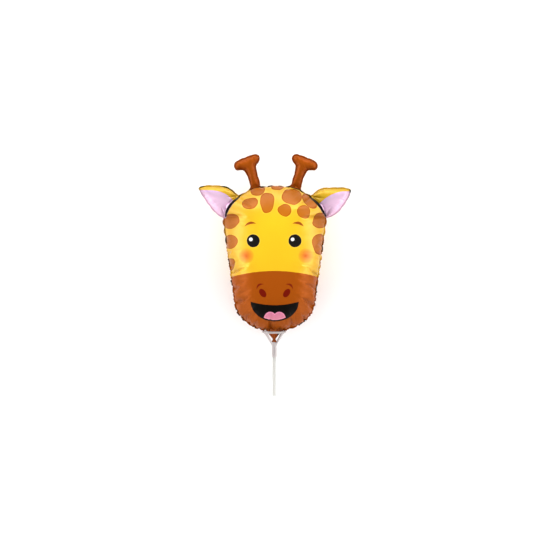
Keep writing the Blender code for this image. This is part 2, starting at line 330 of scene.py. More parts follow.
class Film:
    """A film that bends freely and hardly stretches, with pressure inside."""

    def __init__(self, flat, tri, front, order, edges, lengths=None):
        self.tri, self.front, self.order, self.count, self.edges = tri, front, order, len(flat), edges
        on_seam = np.flatnonzero(order >= 0)
        self.seam = on_seam[np.argsort(order[on_seam])]
        self.groups = apart(edges, self.count)
        self.cut(flat)
        if lengths is not None:
            self.lengths = lengths

    def cut(self, flat):
        """Takes the flat shape that the film was cut to."""
        self.flat = flat
        self.lengths = self.spans(flat)
        self.area = self.shared(np.abs(doubled_areas(flat, self.tri)) / 6)[:, None]

    def spans(self, x):
        return np.linalg.norm(x[self.edges[:, 0]] - x[self.edges[:, 1]], axis=1)

    def shared(self, values):
        """Sum at each point of what its triangles have."""
        return sum(np.bincount(self.tri[:, k], values, self.count) for k in range(3))

    def around(self, values):
        """Sum at each point of what its neighbours have."""
        i, j = self.edges.T
        return np.bincount(i, values[j], self.count) + np.bincount(j, values[i], self.count)

    def pressure(self, x):
        a, b, c = (x[self.tri[:, k]] for k in range(3))
        share = np.cross(b - a, c - a) / 6
        return np.stack([self.shared(share[:, d]) for d in range(3)], 1)

    def blow(self, steps, push, passes, squeeze, drag=0.97, flatten=0.0, floor=-1.0, pull=0.0):
        """Steps of pressure, each followed by passes that restore the edges' lengths.

        squeeze is how much of a shortening is put back: a film buckles rather than shortens. flatten
        draws the seam to its plane, and pull draws it to its goal in that plane.
        """
        x = self.shape
        speed = np.zeros_like(x)
        groups = [(*self.edges[g].T, self.lengths[g]) for g in self.groups]
        for _ in range(steps):
            speed += push * self.pressure(x) / self.area
            new = x + speed
            for _ in range(passes):
                for i, j, length in groups:
                    gap = new[j] - new[i]
                    now = np.sqrt((gap * gap).sum(1)) + 1e-12
                    excess = now - length
                    gap *= (np.where(excess > 0, 0.5, 0.5 * squeeze) * excess / now)[:, None]
                    new[i] += gap
                    new[j] -= gap
                new[self.seam, 2] *= 1 - flatten
                new[:, 2] = np.maximum(new[:, 2], floor)
            new[self.seam, :2] += pull * (self.goal - new[self.seam, :2])
            speed = (new - x) * drag
            x = new
        self.shape = x


def spread(points, places, moves):
    """Moves of some places, carried smoothly to all points."""
    moved = np.empty_like(points)
    for k in range(0, len(points), 4000):
        near = (((points[k:k + 4000, None] - places[None]) ** 2).sum(2) + 1e-10) ** -1.5
        moved[k:k + 4000] = (near @ moves) / near.sum(1)[:, None]
    return moved


def divided(film):
    """The same film with each triangle cut in four."""
    tri, order, edges, count = film.tri, film.order, film.edges, film.count
    number = {tuple(e): k for k, e in enumerate(edges.tolist())}
    sides = np.sort(tri[:, [[0, 1], [1, 2], [2, 0]]], axis=2).reshape(-1, 2)
    sides = np.array([number[tuple(e)] for e in sides.tolist()]).reshape(-1, 3)
    ab, bc, ca = (sides + count).T
    a, b, c = tri.T
    fine = np.vstack([np.stack(t, 1) for t in ((a, ab, ca), (ab, b, bc), (ca, bc, c), (ab, bc, ca))])
    middle = np.arange(len(edges)) + count
    halves = film.lengths / 2
    fine_edges = np.vstack([np.stack(e, 1) for e in ((edges[:, 0], middle), (edges[:, 1], middle),
                                                     (ab, bc), (bc, ca), (ca, ab))])
    fine_edges = np.sort(fine_edges, axis=1)
    lengths = np.concatenate([halves, halves, *(halves[sides[:, k]] for k in (2, 0, 1))])
    one, two = order[edges[:, 0]], order[edges[:, 1]]
    on_seam = (one >= 0) & (two >= 0)
    between = np.where(np.abs(one - two) == 1, 2 * np.minimum(one, two) + 1, 2 * order.max() + 1)
    fine_order = np.concatenate([np.where(order >= 0, 2 * order, -1), np.where(on_seam, between, -1)])

    def with_middles(v):
        return np.vstack([v, (v[edges[:, 0]] + v[edges[:, 1]]) / 2])

    result = Film(with_middles(film.flat), fine, np.tile(film.front, 4), fine_order, fine_edges, lengths)
    result.shape = with_middles(film.shape)
    result.goal = np.stack([film.goal, (film.goal + np.roll(film.goal, -1, 0)) / 2], 1).reshape(-1, 2)
    return result


def limb_runs(limb):
    """Runs of seam points that belong to a limb, each with the head's seam points before and after it."""
    starts = np.flatnonzero(limb & ~np.roll(limb, 1))
    ends = np.flatnonzero(limb & ~np.roll(limb, -1))
    for start in starts:
        end = ends[ends >= start].min() if (ends >= start).any() else ends.min()
        yield np.arange(start, end + 1 + (len(limb) if end < start else 0)) % len(limb)


def carried_moves(moves, limb):
    """The head's moves, with each limb carried along by the two ends of its root."""
    moves = moves.copy()
    for run in limb_runs(limb):
        first, last = moves[run[0] - 1], moves[(run[-1] + 1) % len(limb)]
        share = np.linspace(0, 1, len(run))[:, None]
        moves[run] = first * (1 - share) + last * share
    return moves


def lay_limbs(film, limb):
    """Lays the limbs into the outline, domed as a membrane under pressure would be."""
    flat, seam = film.flat, film.seam
    on_limb = np.any([inside(flat, flat[seam][run]) for run in limb_runs(limb)], axis=0)
    on_limb[seam] = limb
    laid = flat + spread(flat, flat[seam], film.goal - flat[seam])
    film.shape[on_limb, :2] = laid[on_limb]
    i, j = film.edges.T
    count = np.bincount(np.concatenate([i, j]), minlength=film.count)
    square = ((film.shape[i, :2] - film.shape[j, :2]) ** 2).sum(1)
    square = (np.bincount(i, square, film.count) + np.bincount(j, square, film.count)) / count / 4
    kept = (film.shape[:, 2] / DOME) ** 2
    rise = kept.copy()
    for _ in range(DOME_ROUNDS):
        rise = film.around(rise) / count + square
        rise[~on_limb] = kept[~on_limb]
        rise[seam] = 0.0
    film.shape[on_limb, 2] = (film.side * DOME * np.sqrt(rise))[on_limb]
    held = on_limb[i] & on_limb[j]
    film.lengths = np.where(held, film.spans(film.shape), film.lengths)


def blown_balloon():
    """Cuts two films, blows them up, and trims the cut until the seam meets its place in the outline."""
    half, names = half_outline()
    outline = mirrored(half)
    part = np.concatenate([names, names[-2:0:-1]])
    outline[part == "horn", 0] += HORN_SHIFT
    droops = (part == "ear") & (outline[:, 0] > 0)
    outward_share = np.clip((outline[:, 0] - EAR[-1][0]) / (EAR_TIP_X - EAR[-1][0]) * 2, 0, 1)
    outline[:, 1] -= droops * EAR_DROOP * outward_share * np.clip(outline[:, 1] / EAR_TIP_Y, 0, 1)
    root_x, root_y = EAR[0]
    chord = root_x + (outline[:, 1] - root_y) * (EAR_TIP_X - root_x) / (EAR_TIP_Y - root_y)
    bulge = (part == "ear") * np.clip(-outline[:, 0] - chord, 0, None)
    outline[:, 0] += EAR_BULGE_LOST * bulge
    goal = outline - outward(smoothed(outline, 2)) * SEAM_WIDTH
    on_limb = part != "head"
    step = np.where(on_limb, LIMB_STEP, HEAD_STEP)
    edge, step, goal = resampled(mirrored(first_cut(half, names)), step, goal)
    step = np.where(step[:, 0] > (HEAD_STEP + LIMB_STEP) / 2, HEAD_STEP, LIMB_STEP)
    film = two_films(*flat_sheet(edge, step), goal)
    limb = step[film.order[film.seam]] == LIMB_STEP

    film.blow(steps=200, push=1e-4, passes=3, squeeze=0.02, flatten=0.02)
    film.blow(steps=60, push=1e-5, passes=4, squeeze=0.05, flatten=0.02)
    for _ in range(CUT_FITS):
        seam = film.shape[film.seam, :2]
        move = smoothed(carried_moves(film.goal - seam, limb), 6)
        film.cut(film.flat + spread(film.flat, film.flat[film.seam], move))
        film.shape[:, :2] += SHAPE_FOLLOWS * spread(film.shape[:, :2], seam, move)
        film.blow(steps=70, push=1e-5, passes=4, squeeze=0.05, flatten=0.02)
    lay_limbs(film, limb)
    film.blow(steps=150, push=1e-5, passes=4, squeeze=0.05, flatten=0.005, pull=0.1)
    film = divided(film)
    on_floor = {"passes": 4, "flatten": 0.005, "floor": -SEAM_HEIGHT, "pull": 0.05}
    film.blow(steps=120, push=3e-6, squeeze=0.2, drag=0.95, **on_floor)
    film.level = 1
    film = divided(film)
    film.blow(steps=40, push=1e-6, squeeze=0.3, drag=0.9, **on_floor)
    film.level = 2
    film.shape[:, 2] *= PRESSED * SEAM_HEIGHT / film.shape[:, 2].max()
    film.on_limb = np.repeat(limb, 2 ** film.level)
    return film


def print_places(film):
    """Where the photograph shows each point, in the seam's plane, with the wrinkles evened out."""
    towards = 1 - np.abs(film.shape[:, 2:]) / CAMERA_DISTANCE
    centre = np.array([PHOTO_CENTRE[0], PHOTO_CENTRE[1] - REST_Y])
    values = centre + (film.shape[:, :2] - centre) / towards
    count = film.around(np.ones(film.count))[:, None]
    for _ in range(PRINT_EVENING[film.level]):
        total = np.stack([film.around(v) for v in values.T], 1)
        values = 0.5 * values + 0.5 * total / count
        values[film.seam] = film.goal
    return values


def nearest_on_seam(film):
    """For each point, the nearest place on the seam in the flat film, and how far off it is."""
    place, away = [], []
    for k in range(0, film.count, 4000):
        square = ((film.flat[k:k + 4000, None] - film.flat[None, film.seam]) ** 2).sum(2)
        place.append(square.argmin(1))
        away.append(np.sqrt(square.min(1)))
    return np.concatenate(place), np.concatenate(away)


def pleated(film, place, away, along):
    """The film's shape with rounded pleats and sharp creases between them, which fade inwards."""
    rng = np.random.default_rng(11)
    height = np.zeros(film.count)
    knots = np.linspace(0.0, along.max(), PLEAT_KNOTS)
    for on_limb, pleats in ((False, HEAD_PLEATS), (True, LIMB_PLEATS)):
        for pitch, reach, size in pleats:
            drift = np.cumsum(rng.normal(0.0, 0.5, len(knots)))
            phase = math.pi * along / pitch + np.interp(along, knots, drift)
            strength = np.interp(along, knots, rng.uniform(0.3, 1.0, len(knots)))
            ridge = (strength * (np.abs(np.sin(phase)) - SINE_MEAN))[place]
            fade = away / reach * np.exp(1 - away / reach)
            height += (film.on_limb[place] == on_limb) * size * ridge * fade
    return film.shape + unit(film.pressure(film.shape)) * height[:, None]


def foil_mesh(film):
    """Mesh of both films with the sealed edge round them.

    UV map "print" is where a point would lie in the picture if the film had no wrinkles, in metres.
    UV map "seam" is how far along the seam it is, and how far outside the seam.
    """
    seam = film.seam
    length = np.linalg.norm(np.roll(film.flat[seam], -1, 0) - film.flat[seam], axis=1)
    along = np.concatenate([[0], np.cumsum(length)[:-1]])
    place, away = nearest_on_seam(film)
    x = pleated(film, place, away, along)
    x[:, 2] = np.maximum(x[:, 2], -SEAM_HEIGHT)
    printed = print_places(film)

    # The sealed edge leaves the seam half-way between the two films
    count = len(seam)
    heading = smoothed(unit(np.roll(x[seam], -1, 0) - np.roll(x[seam], 1, 0)), 2)
    out = unit(np.stack([heading[:, 1], -heading[:, 0], np.zeros(count)], 1))
    lift = np.array([0.0, 0.0, SEAM_THICKNESS / 2])
    rings = []
    heights = np.random.default_rng(3).uniform(0.2, 1.0, SEAM_KNOTS)
    uneven = np.interp(along, np.linspace(0, along.max(), SEAM_KNOTS), heights)
    uneven *= np.where(film.on_limb, SEAM_CALM_ON_LIMBS, 1.0)
    phase = math.pi * along / SEAM_WAVE_PITCH
    scallop = (1.0 + SEAM_SCALLOP * uneven * (np.abs(np.sin(phase)) - SINE_MEAN))[:, None]
    wave = np.array([0.0, 0.0, SEAM_WAVE]) * (uneven * np.sin(2 * phase))[:, None]
    for share in SEAM_SHARES:
        ring = x[seam] + (out * SEAM_WIDTH * scallop + wave) * share
        thin = lift * (1.0 if share < 1.0 else SEAM_TIP)
        rings.append((ring + thin, ring - thin, share * SEAM_WIDTH))

    points, uv_print, uv_seam = [x.copy()], [printed], [np.column_stack([along[place], -away])]
    points[0][seam] = rings[0][0]
    base = len(x)
    front_rings, back_rings = [seam], []
    sides = [(rings[0][1], 0.0, back_rings)]
    for top, bottom, beyond in rings[1:]:
        sides += [(top, beyond, front_rings), (bottom, beyond, back_rings)]
    for side, beyond, held in sides:
        points.append(side)
        uv_print.append(printed[seam] + out[:, :2] * beyond)
        uv_seam.append(np.column_stack([along, np.full(count, beyond)]))
        held.append(base + np.arange(count))
        base += count
    points, uv_print, uv_seam = (np.vstack(v) for v in (points, uv_print, uv_seam))

    to_back = np.arange(base)
    to_back[seam] = back_rings[0]
    faces = film.tri[film.front].tolist() + to_back[film.tri[~film.front]].tolist()
    slots = [0] * int(film.front.sum()) + [1] * int((~film.front).sum())
    bands = [(inner, outer, 0) for inner, outer in zip(front_rings, front_rings[1:])]
    bands += [(outer, inner, 1) for inner, outer in zip(back_rings, back_rings[1:])]
    bands.append((front_rings[-1], back_rings[-1], 0))
    for one, two, material in bands:
        faces += np.stack([one, two, np.roll(two, -1), np.roll(one, -1)], 1).tolist()
        slots += [material] * count

    mesh = bpy.data.meshes.new("foil_skin")
    points = points + [0.0, REST_Y, SEAM_HEIGHT]
    mesh.from_pydata(points.tolist(), [], faces)
    mesh.polygons.foreach_set("material_index", slots)
    corners = np.empty(len(mesh.loops), int)
    mesh.loops.foreach_get("vertex_index", corners)
    for name, values in (("print", uv_print), ("seam", uv_seam)):
        layer = mesh.uv_layers.new(name=name)
        layer.data.foreach_set("uv", values[corners].astype(np.float32).ravel())
    mesh.shade_smooth()
    return mesh


# Materials

def linear(value):
    value /= 255
    return ((value + 0.055) / 1.055) ** 2.4 if value > 0.04 else value / 12.92


def colour(red, green, blue):
    """Linear colour from 0 to 255 values."""
    return linear(red), linear(green), linear(blue), 1.0


class Ink:
    """Nodes of one material or world, with short names for those that a pattern needs, in millimetres."""

    def __init__(self, owner):
        owner.use_nodes = True
        self.owner, self.tree = owner, owner.node_tree
        self.shader = self.tree.nodes.get("Principled BSDF") or self.tree.nodes["Background"]

    def feed(self, socket, value):
        if isinstance(value, bpy.types.NodeSocket):
            self.tree.links.new(value, socket)
        else:
            socket.default_value = value

    def shade(self, name, value):
        self.feed(self.shader.inputs[name], value)

    def node(self, kind, inputs=(), output=0, **settings):
        """A new node's output. Its inputs are fed by place or by name, with values or with outputs."""
        made = self.tree.nodes.new("ShaderNode" + kind)
        for name, value in settings.items():
            setattr(made, name, value)
        for key, value in inputs.items() if isinstance(inputs, dict) else enumerate(inputs):
            self.feed(made.inputs[key], value)
        return made.outputs[output]

    def math(self, operation, *values, clamp=False):
        return self.node("Math", values, operation=operation, use_clamp=clamp)

    def vector(self, operation, *values, output=0):
        return self.node("VectorMath", values, output, operation=operation)

    def split(self, vector):
        return self.node("SeparateXYZ", [vector]).node.outputs[:3]

    def scaled(self, value, factor, offset=0.0, clamp=False):
        return self.math("MULTIPLY_ADD", value, factor, offset, clamp=clamp)

    def chain(self, operation, *values):
        result = values[0]
        for value in values[1:]:
            result = self.math(operation, result, value)
        return result

    def both(self, *masks):
        return self.chain("MULTIPLY", *masks)

    def below(self, value, limit=0.0, edge=0.5):
        """1 where the value is below the limit, with an edge of that width."""
        if isinstance(limit, bpy.types.NodeSocket):
            value, limit = self.math("SUBTRACT", value, limit), 0.0
        return self.scaled(value, -1.0 / edge, limit / edge + 0.5, clamp=True)

    def above(self, value, limit=0.0, edge=0.5):
        return self.below(value, limit, -edge)

    def either(self, right, pair):
        """First of the two numbers on the left-hand side, second on the right."""
        return self.scaled(right, pair[1] - pair[0], pair[0])

    def ramp(self, value, ends):
        """Smooth step: from, to, and the results at the two."""
        names = ("Value", "From Min", "From Max", "To Min", "To Max")
        return self.node("MapRange", dict(zip(names, (value, *ends))), interpolation_type="SMOOTHSTEP")

    def paint(self, under, over, mask):
        return self.node("Mix", {0: mask, 6: under, 7: over}, 2, data_type="RGBA", clamp_factor=True)

    def layers(self, ground, *inks):
        """The ground with each colour painted over it by its mask."""
        for over, mask in inks:
            ground = self.paint(ground, over, mask)
        return ground

    def multiplied(self, one, two):
        return self.node("Mix", {0: 1.0, 6: one, 7: two}, 2, data_type="RGBA", blend_type="MULTIPLY")

    def noise(self, vector, scale, detail=2.0, roughness=0.5, output=0):
        inputs = {"Vector": vector, "Scale": scale, "Detail": detail, "Roughness": roughness}
        return self.node("TexNoise", inputs, output)

    def bump(self, height, strength, distance):
        inputs = {"Height": height, "Strength": strength, "Distance": distance}
        self.shade("Normal", self.node("Bump", inputs))

    def turned(self, point, centre, lean):
        """The point as seen from the centre, with X along the lean, in degrees."""
        inputs = {"Vector": self.vector("SUBTRACT", point, (*centre, 0.0)), "Angle": -math.radians(lean)}
        return self.split(self.node("VectorRotate", inputs, rotation_type="Z_AXIS"))[:2]

    def blob(self, point, centre, reach, lean=0.0, taper=0.0, square=2.0):
        """Distance from a rounded shape's edge: reach is its half-sizes, taper widens its upper end."""
        u, v = self.turned(point, centre, lean)
        u, v = self.both(u, 1.0 / reach[0]), self.both(v, 1.0 / reach[1])
        if taper:
            u = self.math("DIVIDE", u, self.scaled(v, taper, 1.0))
        u, v = (self.math("POWER", self.math("ABSOLUTE", w), square) for w in (u, v))
        ring = self.math("POWER", self.math("ADD", u, v), 1.0 / square)
        return self.scaled(ring, min(reach), -min(reach))

    def stroke(self, point, centre, shape, lean=0.0):
        """Distance from a bowed line that thins out to its ends: half-length, sag and half-width."""
        half_length, sag, half_width = shape
        u, v = self.turned(point, centre, lean)
        u = self.both(u, 1.0 / half_length)
        left = self.scaled(self.both(u, u), -1.0, 1.0)
        bow = self.math("ABSOLUTE", self.math("SUBTRACT", v, self.both(left, sag)))
        return self.math("SUBTRACT", bow, self.both(left, half_width))


YELLOW = colour(255, 196, 0)
SPOT = colour(198, 111, 0)
SPOT_EDGE = colour(184, 90, 2)
HALO = colour(255, 214, 40)
BROWN = colour(174, 82, 8)
BLACK = colour(14, 10, 8)
WHITE = (1.0, 1.0, 1.0, 1.0)
CHEEK = colour(228, 104, 0)
BROW = colour(168, 84, 24)
NOSTRIL_RED = colour(122, 20, 2)
NOSTRIL_LINE = colour(132, 34, 6)
TONGUE_EDGE = colour(255, 150, 205)
TONGUE_PINK = colour(228, 128, 180)
EAR_YELLOW = colour(216, 170, 0)
EAR_PINK = colour(252, 210, 240)
EAR_PINK_SHADED = colour(216, 182, 208)
FOLD_LINE = colour(214, 176, 226)

# Spots on the face, in millimetres from the middle of the widest line: centre, half-sizes, lean, taper
FACE_SPOTS = [
    ((-29.8, 55.3), (13.0, 9.4), 12, 0.1), ((-42.9, 32.2), (13.7, 10.6), 8, 0.15),
    ((-13.3, 33.4), (12.3, 18.6), -4, 0.1), ((4.6, 61.5), (11.6, 5.6), 0, 0.0),
    ((29.6, 44.8), (17.6, 13.6), -12, -0.1), ((17.7, 21.4), (11.6, 10.8), -28, -0.15),
    ((51.5, 17.9), (11.8, 10.8), -28, -0.15), ((60.5, 36.0), (16.6, 8.6), -44, 0.0),
    ((79.6, 2.3), (12.6, 13.4), -8, -0.1), ((77.5, -39.0), (11.4, 18.2), 4, 0.1),
    ((83.0, -74.0), (6.0, 8.0), 0, 0.0), ((-77.0, 1.6), (15.2, 12.6), 18, 0.0),
    ((-76.5, -34.3), (11.4, 12.8), -20, 0.0), ((-78.5, -74.0), (8.6, 11.4), -10, 0.0),
]
# Spots on the back, which the photograph doesn't show: the same kind, larger and further apart
BACK_SPOTS = [
    ((-58, 30), (15, 12), 30, 0.1), ((-22, 38), (17, 13), -8, -0.1), ((24, 32), (13, 17), 10, 0.1),
    ((62, 26), (13, 14), -25, 0.1), ((-76, -8), (12, 16), 8, 0.0), ((-40, -6), (13, 15), -14, 0.1),
    ((2, -4), (16, 12), 14, -0.1), ((44, -12), (13, 15), 20, 0.1), ((78, -20), (10, 15), 0, 0.0),
    ((-62, -48), (13, 15), 18, -0.1), ((-20, -42), (15, 13), -12, 0.1), ((22, -52), (14, 12), 25, 0.0),
    ((62, -58), (13, 14), -12, 0.1), ((-78, -82), (9, 11), 0, 0.0), ((-8, 60), (12, 7), 0, 0.0),
]
SPOT_SQUARE = 2.2
SPOT_LINE = 1.3
SPOT_WOBBLE_SCALE = 0.055
SPOT_WOBBLE = (4.5, 4.5, 0.0)
MUZZLE_TOP = -85.6
MUZZLE_DROP = 10.5
MUZZLE_HALF = 76.5
EYES = [(-37.6, -32.9), (35.4, -32.9)]
# Each eye, from the outside in: offset, radius, colour, width of its edge
EYE_LAYERS = [((0.0, 0.0), 12.4, colour(255, 212, 60), 1.4), ((0.0, 0.0), 11.4, colour(6, 10, 34), 0.5),
              ((0.0, 0.0), 9.9, colour(24, 22, 20), 1.2), ((-4.1, 2.5), 3.2, WHITE, 0.5)]
BROWS = [((-42.6, -5.4), 14), ((41.0, -5.4), -14)]
BROW_STROKE = (10.6, 3.8, 2.3)
CHEEKS = [(-49.5, -59.2), (54.2, -59.2)]
CHEEK_RADIUS = 13.5
CHEEK_FADE = 0.62
NOSTRILS = [((-21.0, -124.4), 35), ((21.0, -124.4), -35)]
NOSTRIL = (5.2, 8.3)
NOSTRIL_ARCS = [((-25.3, -113.6), 35), ((25.3, -113.6), -35)]
NOSTRIL_STROKE = (8.0, 4.2, 1.7)
MOUTH_CENTRE = (0.0, -139.5)
MOUTH_HALF_SIZES = (42.0, 34.5)
MOUTH_SAG = 6.0
TONGUE = [(-8.0, -170.2), (8.0, -170.2)]
TONGUE_LOBE = (11.4, 13.0)
LIP = 2.6
TONGUE_LINE = 1.5

# Fold along the ears, where pink meets yellow. Pairs are for the left-hand and the right-hand ear
FOLD_OUTER_END = 126.0
FOLD_REACH = 56.0
FOLD_HEIGHT = (54.5, 52.5)
FOLD_DROP = (22.0, 30.8)
FOLD_POWER = (3.4, 2.2)
FOLD_SHADED = (-15.0, -2.0, 0.0, 0.8)
# The horns' print is used nearer the middle than this, and above the ears
HORN_SIDE = 58.0
EARS_TOP = 70.0
# Millimetres for each unit of the crown's ellipse, between its two half-sizes
CROWN_REACH = CROWN_HEIGHT * 1000 * 1.15
# How far the head's side reaches over the ears' inner ends, where, and over what height that begins
TUCKED = 4.2
EAR_SIDE = (52.0, 66.0, 0.0, TUCKED)
EAR_END_RISE = (1 / 11, 1 / 24)
# Dark line round the head, a printed outline that is partly painted shade in the crease by the ears and
# horns: half-width, more of it by the ears, its thickest height and its reach from there
ROOT_LINE = 0.8
ROOT_LINE_BY_EARS = 1.5
ROOT_LINE_FROM = 60.0
ROOT_MIDDLE = 29.0
ROOT_REACH = 22.0
ROOT_LINE_END = (5.0, 10.0, 0.0, 1.0)
# Patches of dark print on the sealed rim: along the seam, contrast, more between the horns, less on limbs
PATCH_SCALE = (24.0, 0.0, 0.0)
PATCHES = (9.0, -4.4)
CROWN_TOP = 56.0
CROWN_SIDE = 50.0
MORE_ON_CROWN = 0.22
LESS_ON_HORNS = 0.4
LESS_ON_PINK = -0.85
RIM_DARK_FROM = 0.6

# What the ink's colours are multiplied by, with painted shade that darkens them towards the seam and at the
# limbs' rims, and how far from the seam it reaches
SEAM_PAINTED_SHADE_RAMP = (-95.0, -25.0, 0.0, 1.0)
SHADE_MIDDLE = (0.80, 0.80, 0.80, 1.0)
HEAD_PAINTED_SHADE = (0.47, 0.45, 0.36, 1.0)
MUZZLE_PAINTED_SHADE = (0.56, 0.57, 0.36, 1.0)
SHADE_LIMB = (0.70, 0.70, 0.70, 1.0)
EAR_RIM_PAINTED_SHADE = (0.60, 0.56, 0.54, 1.0)
HORN_RIM_PAINTED_SHADE = (0.46, 0.40, 0.36, 1.0)
LIMB_RIM_SHADE_REACH = 4.0
# Gloss by the ink's brightness: from, to, gloss levels
INK_GLOSS = (0.155, 0.35, 0.05, 0.32)
PINK_GLOSS_LOST = -0.7
STREAK_SCALE = (300.0, 24.0, 0.0)
STREAK_REACH = 40.0
IN_MM = (1000.0, 1000.0, 0.0)


def printed_spots(ink, point, ground, spots):
    """Brown spots with a darker line and a light halo, their outline a little unsteady."""
    wobble = ink.noise(point, SPOT_WOBBLE_SCALE, 0.0, output="Color")
    shift = ink.vector("MULTIPLY", ink.vector("SUBTRACT", wobble, (0.5, 0.5, 0.5)), SPOT_WOBBLE)
    unsteady = ink.vector("ADD", point, shift)
    nearest = ink.chain("MINIMUM", *(ink.blob(unsteady, *spot, SPOT_SQUARE) for spot in spots))
    return ink.layers(ground, (HALO, ink.both(ink.below(nearest, 1.0, 1.6), 0.7)),
                      (SPOT_EDGE, ink.below(nearest)), (SPOT, ink.below(nearest, -SPOT_LINE, 0.9)))


def muzzle_mask(ink, x, y):
    """Below an arch across the head."""
    across = ink.both(x, 1.0 / MUZZLE_HALF)
    return ink.below(y, ink.scaled(ink.both(across, across), -MUZZLE_DROP, MUZZLE_TOP), 0.6)


def outside_head(ink, x, y):
    """Distance outside the crown's edge, right above the widest line."""
    u = ink.both(x, 0.001 / CROWN_HALF_WIDTH)
    v = ink.both(y, 0.001 / CROWN_HEIGHT)
    ring = ink.math("SQRT", ink.math("ADD", ink.both(u, u), ink.both(v, v)))
    return ink.scaled(ring, CROWN_REACH, -CROWN_REACH)


def face_print(ink, point, ground):
    """Cheeks, brows and eyes."""
    for centre in CHEEKS:
        fade = ink.scaled(ink.blob(point, centre, (CHEEK_RADIUS,) * 2), -1.0 / CHEEK_RADIUS, clamp=True)
        ground = ink.paint(ground, CHEEK, ink.math("POWER", fade, CHEEK_FADE))
    for centre, lean in BROWS:
        ground = ink.paint(ground, BROW, ink.below(ink.stroke(point, centre, BROW_STROKE, lean)))
    for x, y in EYES:
        for (right, up), radius, shade, edge in EYE_LAYERS:
            disc = ink.blob(point, (x + right, y + up), (radius, radius))
            ground = ink.paint(ground, shade, ink.below(disc, 0.0, edge))
    return ground


def muzzle_print(ink, point, x, y):
    """Nostrils, mouth and tongue on brown."""
    ground = BROWN
    for centre, lean in NOSTRILS:
        ground = ink.paint(ground, NOSTRIL_RED, ink.below(ink.blob(point, centre, NOSTRIL, lean)))
    for centre, lean in NOSTRIL_ARCS:
        ground = ink.paint(ground, NOSTRIL_LINE, ink.below(ink.stroke(point, centre, NOSTRIL_STROKE, lean)))
    across = ink.both(x, 1.0 / MOUTH_HALF_SIZES[0])
    sag = ink.scaled(ink.both(across, across), MOUTH_SAG, MOUTH_CENTRE[1] - MOUTH_SAG)
    bowl = ink.blob(point, MOUTH_CENTRE, MOUTH_HALF_SIZES)
    lobes = ink.chain("MINIMUM", *(ink.blob(point, centre, TONGUE_LOBE) for centre in TONGUE))
    tongue = ink.math("MAXIMUM", lobes, ink.math("ADD", bowl, LIP))
    return ink.layers(ground, (BLACK, ink.both(ink.below(y, sag), ink.below(bowl))),
                      (TONGUE_EDGE, ink.below(tongue)), (TONGUE_PINK, ink.below(tongue, -TONGUE_LINE)))


def above_fold(ink, away, y, right):
    """Height above the line along which an ear folds over."""
    reach = ink.scaled(away, -1.0 / FOLD_REACH, FOLD_OUTER_END / FOLD_REACH, clamp=True)
    drop = ink.both(ink.math("POWER", reach, ink.either(right, FOLD_POWER)), ink.either(right, FOLD_DROP))
    return ink.math("SUBTRACT", ink.math("ADD", y, drop), ink.either(right, FOLD_HEIGHT))


def root_line_and_crease_shade(ink, away, y, outside):
    """Dark line round the head, where the ears and horns leave it, thickest midway down the ears: a printed
    outline, partly painted shade in the crease there.
    """
    level = ink.scaled(y, 1 / ROOT_REACH, -ROOT_MIDDLE / ROOT_REACH)
    midway = ink.scaled(ink.both(level, level), -1.0, 1.0, clamp=True)
    by_ears = ink.both(ink.above(away, ROOT_LINE_FROM, 1.0), midway)
    thick = ink.scaled(by_ears, ROOT_LINE_BY_EARS, ROOT_LINE)
    off = ink.math("ABSOLUTE", ink.math("SUBTRACT", outside, thick))
    return ink.both(ink.below(off, thick, 0.9), ink.ramp(y, ROOT_LINE_END))


def rim_patches(ink, seam, beyond, away, y, on_horn, on_pink):
    """Dark print on the sealed rim, in patches, where the two films' prints don't quite meet."""
    on_crown = ink.both(ink.above(y, CROWN_TOP), ink.below(away, CROWN_SIDE))
    patches = ink.noise(ink.vector("MULTIPLY", seam, PATCH_SCALE), 1.0, 3.0)
    patches = ink.scaled(on_crown, MORE_ON_CROWN, patches)
    patches = ink.scaled(on_horn, -LESS_ON_HORNS, patches)
    return ink.both(ink.above(beyond, RIM_DARK_FROM, 1.0), ink.scaled(patches, *PATCHES, clamp=True),
                    ink.scaled(on_pink, LESS_ON_PINK, 1.0))


